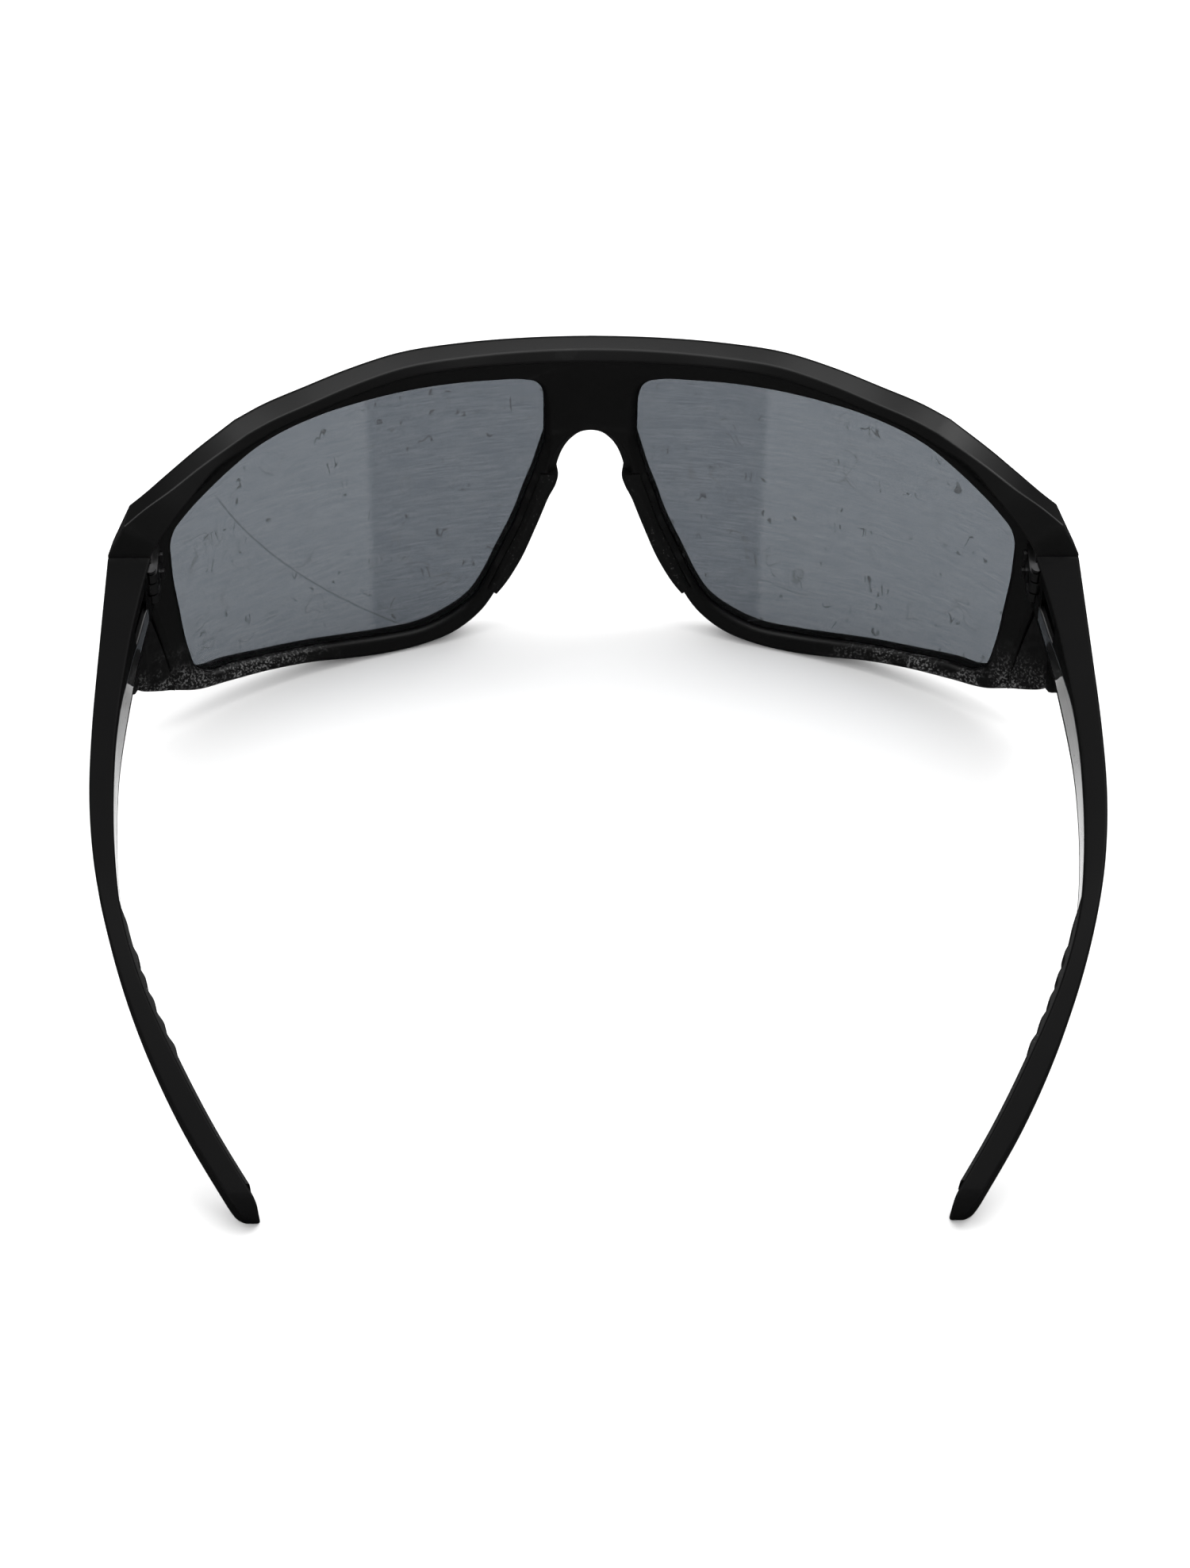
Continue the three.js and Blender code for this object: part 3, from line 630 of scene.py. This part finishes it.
def front_section(spot):
    """The corners of a section through the rim, from the lens side round the front to the back."""
    width = station_width(spot)
    edge_in, edge_deep = spot.get("edge", PLAIN_EDGE)
    chamfer_in, chamfer_deep = spot.get("chamfer", PLAIN_CHAMFER)
    brow = spot.get("brow", 0)
    rear = spot.get("rear")
    groove = LENS_THICKNESS / 2 + GROOVE_ROOM

    def at(inset, lift):
        return station_point(spot, inset, lift)

    def from_outline(distance, lift):
        if "inward" not in spot:
            return at(width - distance, lift)
        way = np.array(spot["inward"], float)
        place = np.array(spot["outline"], float) + way / np.linalg.norm(way) * distance
        return on_wrap(place[0], place[1], lift)

    if rear:
        outer_corner, ridge = np.array(rear[0], float), np.array(rear[1], float)
        foot = at(max(0.5 * width, END_PIECE_FOOT), BACK_LIFT)
    else:
        outer_corner = from_outline(0, BACK_LIFT - edge_deep)
        ridge = from_outline(edge_in + brow, BACK_LIFT + brow * 0.5)
        foot = from_outline(min(1.4 * edge_in + 2 * brow, width - chamfer_in - FOOT_GAP), BACK_LIFT)
    return [
        at(0, BACK_LIFT - chamfer_deep),
        at(0, groove),
        at(LENS_BITE + GROOVE_ROOM, groove),
        at(LENS_BITE + GROOVE_ROOM, -groove),
        at(0, -groove),
        at(0, FRONT_LIFT + FRONT_CHAMFER),
        at(FRONT_CHAMFER, FRONT_LIFT),
        from_outline(edge_in, FRONT_LIFT),
        from_outline(0, FRONT_LIFT + edge_in),
        outer_corner,
        ridge,
        foot,
        at(chamfer_in, BACK_LIFT),
    ]


def front_shell():
    """Half of the front as a closed band of sections, joined to its mirror image at x = 0."""
    last = len(STATIONS)
    rings = smooth_tracks(
        [front_section(spot) for spot in STATIONS],
        FRONT_DIVISIONS,
        True,
        lambda i, k: k in OUTER_TRACKS and STATIONS[i % last].get("kink", False),
        mirror_at={(0, False), (BRIDGE_TOP, True)},
    )
    rings = [rounded(ring, SECTION_RADII, FRONT_ARC) for ring in rings]
    half = np.array([p for ring in rings for p in ring])
    half[:, 2] = np.maximum(half[:, 2], 0)
    half[:, 0] = np.where(np.abs(half[:, 0]) < ON_PLANE, 0, half[:, 0])
    band = band_faces(len(rings), len(rings[0]), True)
    faces = [f for f in band if np.abs(half[list(f), 0]).max() > ON_PLANE]
    mirror = half * [-1, 1, 1]
    mirror_faces = [tuple(k + len(half) for k in reversed(f)) for f in faces]
    return np.concatenate([half, mirror]), faces + mirror_faces


# --------------------------------------------------------------------------------------------------
# Nose pads and lenses
# --------------------------------------------------------------------------------------------------
PAD_STATIONS = (
    [station((18.3, 9.5), (16.3, 7.7), size=0.7)]
    + [spot for spot in STATIONS if spot["outline"][0] < 16 and 9 < spot["outline"][1] < 30]
    + [station((9.45, 30.6), (5.8, 30.5), size=0.35)]
)

PAD_SINK = 0.08  # how deep the pad's underside sits in the rim
PAD_REACH = 3  # how far the pad reaches in from the outline
PAD_LIP = 0.9  # but it stays this far from the lens opening
PAD_RADII = [0, 0, 0.15, 0.5, 0.6, 0.5, 0.3, 0]
PAD_DIVISIONS = 8
PAD_ARC = 4


def nose_pad(clearance):
    """A pad that wraps the rear nose-side corner of its rim: a crest along its middle and a shoulder towards
    the nose. `clearance` grows it into its seat."""
    rings = []
    for i, spot in enumerate(PAD_STATIONS):
        width = station_width(spot)
        size = spot.get("size", 1)
        shift = {0: -clearance, len(PAD_STATIONS) - 1: clearance}.get(i, 0)
        lip = max(PAD_LIP, width - PAD_REACH)
        profile = [
            (width - 0.6 - clearance, BACK_LIFT - PAD_SINK - clearance),
            (lip - clearance, BACK_LIFT - PAD_SINK - clearance),
            (lip - clearance, BACK_LIFT + 0.3 * size + 2 * clearance),
            (width - 1.4, BACK_LIFT + 1.2 * size + 2 * clearance),
            (width + 0.25 * size + clearance, BACK_LIFT + 0.7 * size + clearance),
            (width + 0.85 * size + 2 * clearance, 0.8),
            (width + 0.65 * size + 2 * clearance, -1.0),
            (width - 0.3 - clearance, -1.2 - clearance),
        ]
        rings.append([station_point(spot, inset, lift) + [0, 0, shift] for inset, lift in profile])
    return [rounded(ring, PAD_RADII, PAD_ARC) for ring in smooth_tracks(rings, PAD_DIVISIONS, False)]


LENS_MIDDLE = np.array([38.0, 0, 28.0])
LENS_SIZES = np.linspace(1, 0.06, 16)  # sizes of the rings of a face, from its edge to its middle


def lens_rings():
    """The two faces of a lens, joined at the edge that sits in the groove."""
    outline = []
    for spot in STATIONS:
        start, end = np.array(spot["opening"], float), np.array(spot["outline"], float)
        outline.append(start + (end - start) / np.linalg.norm(end - start) * LENS_BITE)
    flat = [[np.array([x, 0, z])] for x, z in outline]
    smooth = [ring[0] for ring in smooth_tracks(flat, FRONT_DIVISIONS, True)]
    half = LENS_THICKNESS / 2

    def side(lift, sizes):
        rings = []
        for size in sizes:
            places = [LENS_MIDDLE + (p - LENS_MIDDLE) * size for p in smooth]
            rings.append([on_wrap(p[0], p[2], lift) for p in places])
        return rings

    return side(-half, LENS_SIZES[::-1]) + side(half, LENS_SIZES)


# --------------------------------------------------------------------------------------------------
# Temples
# --------------------------------------------------------------------------------------------------
# Smooth curves of (y, value) along the arm: x of its outer and inner faces, height of its top edge, depth
# below that edge, and how far the section leans back, in degrees.
ARM = {
    "outer": ((40, 76.6), (60, 76.6), (75, 76.5), (88, 75.9), (100, 74.4), (110, 72.2), (120, 69),
              (130, 64.7), (140, 59.2), (151, 51.6)),
    "inner": ((40, 69.8), (48, 70.9), (58, 71.9), (75, 72.7), (88, 72.3), (100, 71.2), (110, 69.5),
              (120, 66.1), (130, 61.1), (140, 55.3), (151, 47.9)),
    "top": ((40, 39.2), (60, 35.2), (80, 31.3), (97, 28), (108, 25.2), (120, 20.4), (151, 5.6)),
    "depth": ((40, 9.8), (60, 9.5), (80, 8.6), (100, 7.6), (120, 5.9), (140, 5.1), (151, 6.8)),
    "lean": ((40, 0), (62, 0), (97, 12), (112, 24), (151, 25)),
}
TEMPLE_START = 40.0
TEMPLE_END = 151.0
# Slices of the cheek panel ahead of the joint, as (x, lowest and highest height), and then its lower edge
# behind the joint, as (y, height).
PANEL_SLICES = ((69.98, 8.7, 9), (70.42, 8.9, 12.2), (71.3, 9.3, 17.3), (72.08, 9.7, 21.6), (72.95, 10.2, 26),
                (73.9, 10.9, 30), (74.4, 11.4, 32.1))
PANEL_LOW = ((38, 11.5), (40.2, 12.6), (44, 15.4), (49, 19.6), (54, 23.4), (58, 26), (60, 27))
PANEL_END = 58.0
PANEL_THICKNESS = 2.7
PANEL_LEDGE = 0.01  # keeps two corners of the section apart where the panel ends
PANEL_EDGE = 0.6  # width of the bevel under the panel
PANEL_THINNING = 1.6  # how much the panel's inner face steps back from front to joint
PANEL_STEP = 0.75
PANEL_DIVISIONS = 5
ARM_SLICES = 78
TIP_RADIUS = 2.4
TIP_TURN = np.linspace(0.12, 1, 9) * math.pi / 2
TIP_END_SIZE = 0.42  # size of the last section of the tip
TEMPLE_RADII = [0.5, 0.35, 0, 0.3, 0.3, 0.5, 0, 0.5]
TEMPLE_ARC = 4


def arm_point(y, x, drop):
    """A point of the arm's section at `y`, at a given x and distance below the top edge."""
    lean = math.radians(along(ARM["lean"], y))
    height = along(ARM["top"], y) - drop * math.cos(lean)
    return np.array([x, y - drop * math.sin(lean), max(height, 0)])


def arm_values(y):
    return [along(ARM[key], y) for key in ("outer", "inner", "top", "depth")]


def arm_section(y, scale=1.0):
    """A section across the arm, with the cheek panel hanging below its outer face where there is one."""
    outer, inner, top, depth = arm_values(y)
    panel_inner = outer - PANEL_THICKNESS
    panel_low = depth
    if y < PANEL_END:
        panel_low = max(top - along(PANEL_LOW, y), depth)
    middle = np.array([(outer + inner) / 2, depth])
    outline = [
        (outer, 0),
        (outer, panel_low),
        (outer - PANEL_EDGE, panel_low + PANEL_LEDGE),
        (panel_inner, panel_low + PANEL_LEDGE),
        (panel_inner, depth),
        (inner, depth),
        (inner, depth * 0.5),
        (inner, 0),
    ]
    ring = []
    for x, drop in outline:
        place = middle + (np.array([x, drop]) - middle) * scale
        ring.append(arm_point(y, place[0], place[1]))
    return ring


def panel_section(x, low, high, innermost):
    """A slice of the cheek panel ahead of the joint, where it follows the wrap of the front."""
    edge = 0.2

    def at(share, height):
        lift = FRONT_LIFT + (innermost - FRONT_LIFT) * share
        place = on_wrap(x, height, lift)
        return np.array([place[0], place[1], height])

    return [at(0, high), at(0, low), at(edge, low), at(1, low)] + [at(1, high)] * 4


def temple_rings():
    """Sections of the whole temple: the cheek panel ahead of the joint, the arm, and its rounded tip."""
    last = len(PANEL_SLICES) - 1
    slices = []
    for i, (x, low, high) in enumerate(PANEL_SLICES):
        slices.append(panel_section(x, low, high, BACK_LIFT - PANEL_THINNING * i / last))
    rings = smooth_tracks(slices, PANEL_DIVISIONS, False)
    ys = list(np.arange(TEMPLE_START, PANEL_END, PANEL_STEP))
    ys += list(np.linspace(PANEL_END, TEMPLE_END - TIP_RADIUS, ARM_SLICES))
    rings += [arm_section(y) for y in ys]
    for turn in TIP_TURN:
        y = TEMPLE_END - TIP_RADIUS * (1 - math.sin(turn))
        rings.append(arm_section(y, TIP_END_SIZE + (1 - TIP_END_SIZE) * math.cos(turn)))
    return [rounded(ring, TEMPLE_RADII, TEMPLE_ARC) for ring in rings]


PARTING_DROP = ((40, 6), (50, 5.6), (60, 3.6), (70, 1.5), (110, 1.3))  # the liner's top line, as (y, drop)
LINER = {"sunk": 0.8, "margin": 0.9, "slices": 90}
GRIP = {"sunk": 0.7, "margin": 0.7, "deepest": 5.2, "slices": 200, "least": 0.05, "proud": 0.5, "ramp": 4}
STRIP_CORNER = 0.3
STRIP_ARC = 3
STRIP_CROWN = 0.02  # how much the middle of a strip's face bulges
RIBS = {"first": 115.6, "pitch": 3.2, "count": 5, "height": 0.3}


def inner_strip(stations, strip, clearance):
    """A strip let into the inner face of the arm. `strip` gives how deep it sits, how far it stands proud and
    the drops of its top and bottom edges. `clearance` grows it into its pocket, which has sharp corners."""
    corner = 0 if clearance else STRIP_CORNER
    rings = []
    for i, y in enumerate(stations):
        shift = {0: -clearance, len(stations) - 1: clearance}.get(i, 0)
        depth, proud, start, end = strip(y)
        inner = along(ARM["inner"], y)
        face = inner - proud - 3 * clearance
        floor = inner + depth + clearance
        places = [
            (floor, end + clearance),
            (face, end + clearance),
            (face - STRIP_CROWN, (start + end) / 2),
            (face, start - clearance),
            (floor, start - clearance),
        ]
        ring = [arm_point(y + shift, x, drop) for x, drop in places]
        rings.append(rounded(ring, [0, corner, 0, corner, 0], STRIP_ARC))
    return rings


def liner_rings(clearance):
    def strip(y):
        return LINER["sunk"], 0.0, along(PARTING_DROP, y), along(ARM["depth"], y) - LINER["margin"]

    return inner_strip(np.linspace(*LINER_RANGE, LINER["slices"]), strip, clearance)


def grip_proud(y):
    """How far the grip stands out of the arm: a ramp at its front end, and the ribs."""
    ramp = smooth_step(GRIP_RANGE[0], GRIP_RANGE[0] + GRIP["ramp"], y)
    beyond = (y - RIBS["first"]) / RIBS["pitch"]
    ribbed = -0.5 < beyond < RIBS["count"] - 0.5
    rib = RIBS["height"] * math.cos(math.pi * beyond) ** 2 if ribbed else 0
    return GRIP["least"] + GRIP["proud"] * ramp + rib


def grip_rings(clearance):
    def strip(y):
        low = min(along(ARM["depth"], y), GRIP["deepest"]) - GRIP["margin"]
        return GRIP["sunk"], grip_proud(y), GRIP["margin"], low

    return inner_strip(np.linspace(*GRIP_RANGE, GRIP["slices"]), strip, clearance)


# --------------------------------------------------------------------------------------------------
# Hinge rooms
# --------------------------------------------------------------------------------------------------
def at_hinge(points):
    """From the hinge's own axes, z along the pivot, to the drawing's."""
    turn = np.array(Matrix.Rotation(-HINGE["lean"], 3, "X"))
    return [turn @ np.array(p, float) + [HINGE["x"], HINGE["y"], HINGE["z"]] for p in points]


def hinge_block(x, y, z):
    """A block between two values on each of the hinge's axes."""
    low_ring = [(x[0], y[0], z[0]), (x[1], y[0], z[0]), (x[1], y[1], z[0]), (x[0], y[1], z[0])]
    high_ring = [(a, b, z[1]) for a, b, _ in low_ring]
    return loft([at_hinge(low_ring), at_hinge(high_ring)])


def hinge_barrel(radius, low, high, sides=40):
    angles = np.linspace(0, 2 * math.pi, sides, endpoint=False)
    rings = [[(radius * math.cos(a), radius * math.sin(a), z) for a in angles] for z in (low, high)]
    return loft([at_hinge(ring) for ring in rings])


KNUCKLE = {"half": 1.1, "top": 3.1}
FRAME_LEAF = {"near": -1.1, "far": -0.05, "front": -6.0}
TEMPLE_LEAF = {"near": 2.9, "far": 3.8, "front": 2.4, "rear": 12.4, "half": 2.4}
ROOM = 0.2  # round the turning parts
HEAD_ROOM = 0.9  # above the knuckles, for the screw's head
LEAF_ROOM = 0.08  # round a fixed leaf
OPEN_SIDE = 0.5  # how far the room of the frame leaf runs out of the end piece
# Where the temple's rooms start, on the hinge's x axis and, for the knuckle, on its y axis.
KNUCKLE_ROOM_START = (-1, -0.3)
TEMPLE_LEAF_ROOM_START = 0.6


def pivot_room():
    return hinge_barrel(HINGE["radius"] + ROOM, -KNUCKLE["top"] - ROOM, KNUCKLE["top"] + HEAD_ROOM)


def frame_rooms():
    leaf = FRAME_LEAF
    half = KNUCKLE["top"] + LEAF_ROOM
    across = (leaf["near"] - OPEN_SIDE, leaf["far"] + LEAF_ROOM)
    return [pivot_room(), hinge_block(across, (leaf["front"] - LEAF_ROOM, 0), (-half, half))]


def temple_rooms():
    leaf = TEMPLE_LEAF
    far = leaf["far"] + LEAF_ROOM
    knuckle_half = KNUCKLE["half"] + ROOM
    leaf_half = leaf["half"] + LEAF_ROOM
    start_x, start_y = KNUCKLE_ROOM_START
    along_leaf = (leaf["front"] - ROOM, leaf["rear"] + LEAF_ROOM)
    return [
        pivot_room(),
        hinge_block((start_x, far), (start_y, leaf["front"]), (-knuckle_half, knuckle_half)),
        hinge_block((TEMPLE_LEAF_ROOM_START, far), along_leaf, (-leaf_half, leaf_half)),
    ]


# --------------------------------------------------------------------------------------------------
# The pieces
# --------------------------------------------------------------------------------------------------
def piece(thing, material, body, nodes):
    finish_surface(thing, material)
    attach(thing, body)
    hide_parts(*nodes)


def make_front():
    thing = solid("front_moulding", *front_shell())
    tools = []
    for _, sign in SIDES:
        tools.append(solid("seat_tool", *loft(nose_pad(SEAM)), sign))
        tools += [solid("room_tool", *room, sign) for room in frame_rooms()]
    carve(thing, tools)
    piece(thing, FRAME_PLASTIC, "front", ["frame_front"])


def make_side(side, sign):
    body = f"temple_{side}"
    lens = solid(f"lens_pane_{side}", *loft(lens_rings()), sign)
    piece(lens, SMOKE_LENS, "front", [f"lens_{side}"])
    pad = solid(f"nose_rubber_{side}", *loft(nose_pad(0)), sign)
    piece(pad, RUBBER, "front", [f"nose_pad_{side}"])
    shell = solid(f"temple_moulding_{side}", *loft(temple_rings()), sign)
    tools = [solid("strip_tool", *loft(rings), sign) for rings in (liner_rings(SEAM), grip_rings(SEAM))]
    tools += [solid("room_tool", *room, sign) for room in temple_rooms()]
    carve(shell, tools)
    piece(shell, TEMPLE_PLASTIC, body, [f"temple_{side}"])
    liner = solid(f"inner_liner_{side}", *loft(liner_rings(0)), sign)
    piece(liner, SATIN_PLASTIC, body, [f"temple_liner_{side}"])
    grip = solid(f"ribbed_grip_{side}", *loft(grip_rings(0)), sign)
    piece(grip, RUBBER, body, [f"ear_grip_{side}"])


def dress_cad_node(name):
    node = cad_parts[name]
    node.data.materials.clear()
    node.data.materials.append(STEEL)


make_front()
for side_name, side_sign in SIDES:
    make_side(side_name, side_sign)
for node_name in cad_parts:
    if "hinge" in node_name or "screw" in node_name:
        dress_cad_node(node_name)


# --------------------------------------------------------------------------------------------------
# Stage: floor, light and camera
# --------------------------------------------------------------------------------------------------
FLOOR_HALF = 2.5
FLOOR_HEIGHTS = (-0.02, -0.00002)  # underside and top, just below the glasses


def make_floor():
    corners = ((-1, -1), (1, -1), (1, 1), (-1, 1))
    shift = np.array([0, FOOTPRINT_CENTRE_Y, 0])
    rings = []
    for z in FLOOR_HEIGHTS:
        rings.append([np.array([x * FLOOR_HALF, y * FLOOR_HALF, z]) / MM + shift for x, y in corners])
    thing = solid("floor", *loft(rings))
    thing.data.materials.append(pale_floor())


def area_light(name, place, target, size, power):
    data = bpy.data.lights.new(name, "AREA")
    data.shape = "RECTANGLE"
    data.size, data.size_y = size
    data.energy = power
    lamp = bpy.data.objects.new(name, data)
    lamp.location = place
    lamp.rotation_euler = (Vector(target) - Vector(place)).to_track_quat("-Z", "Y").to_euler()
    bpy.context.scene.collection.objects.link(lamp)


SURROUND = 1.3  # brightness of the white surround
FLAGGED = 0.02  # what blurred reflections see of it


def make_light():
    world = bpy.data.worlds.new("studio")
    world.use_nodes = True
    tree = world.node_tree
    background = tree.nodes["Background"]
    background.inputs["Color"].default_value = (1, 1, 1, 1)
    path = tree.nodes.new("ShaderNodeLightPath")
    blurred = tree.nodes.new("ShaderNodeMath")
    blurred.operation = "SUBTRACT"
    tree.links.new(path.outputs["Is Glossy Ray"], blurred.inputs[0])
    tree.links.new(path.outputs["Is Singular Ray"], blurred.inputs[1])
    strength = tree.nodes.new("ShaderNodeMapRange")
    strength.inputs["To Min"].default_value = SURROUND
    strength.inputs["To Max"].default_value = FLAGGED
    tree.links.new(blurred.outputs["Value"], strength.inputs["Value"])
    tree.links.new(strength.outputs["Result"], background.inputs["Strength"])
    world.cycles.sampling_method = "NONE"
    bpy.context.scene.world = world
    area_light("top_softbox", (0, -0.1, 0.9), target=(0, -0.07, 0.05), size=(1.0, 0.5), power=3.4)
    area_light("side_softbox", (-0.61, -0.37, 0.83), target=(-0.06, -0.04, 0.05), size=(0.4, 0.4), power=2.2)
    area_light("side_fill", (0.61, -0.37, 0.83), target=(0.06, -0.04, 0.05), size=(0.4, 0.4), power=0.5)


# The camera looks at the target from behind the glasses: raised by `rise`, round to the left by `swing`, and
# turned by `roll`, all in degrees. Lengths are in millimetres.
CAMERA = {
    "lens": 84.81,
    "sensor": 36,
    "near": 10,
    "rise": 38.095,
    "swing": 1.487,
    "roll": 0.76,
    "distance": 568.524,
    "target": (0.324, -0.977, 19.592),
}


def make_camera():
    data = bpy.data.cameras.new("camera")
    data.lens = CAMERA["lens"]
    data.sensor_width = CAMERA["sensor"]
    data.clip_start = CAMERA["near"] * MM
    rise, swing, roll = (math.radians(CAMERA[key]) for key in ("rise", "swing", "roll"))
    target = Vector(CAMERA["target"]) * MM
    back = Vector((math.sin(swing) * math.cos(rise), math.cos(swing) * math.cos(rise), math.sin(rise)))
    right = Vector((0, 0, 1)).cross(back).normalized()
    up = back.cross(right)
    across = right * math.cos(roll) + up * math.sin(roll)
    upward = up * math.cos(roll) - right * math.sin(roll)
    camera = bpy.data.objects.new("camera", data)
    camera.matrix_world = Matrix((across, upward, back)).transposed().to_4x4()
    camera.location = target + back * CAMERA["distance"] * MM
    bpy.context.scene.collection.objects.link(camera)
    bpy.context.scene.camera = camera


make_floor()
make_light()
make_camera()
bpy.context.scene.view_settings.view_transform = "Standard"
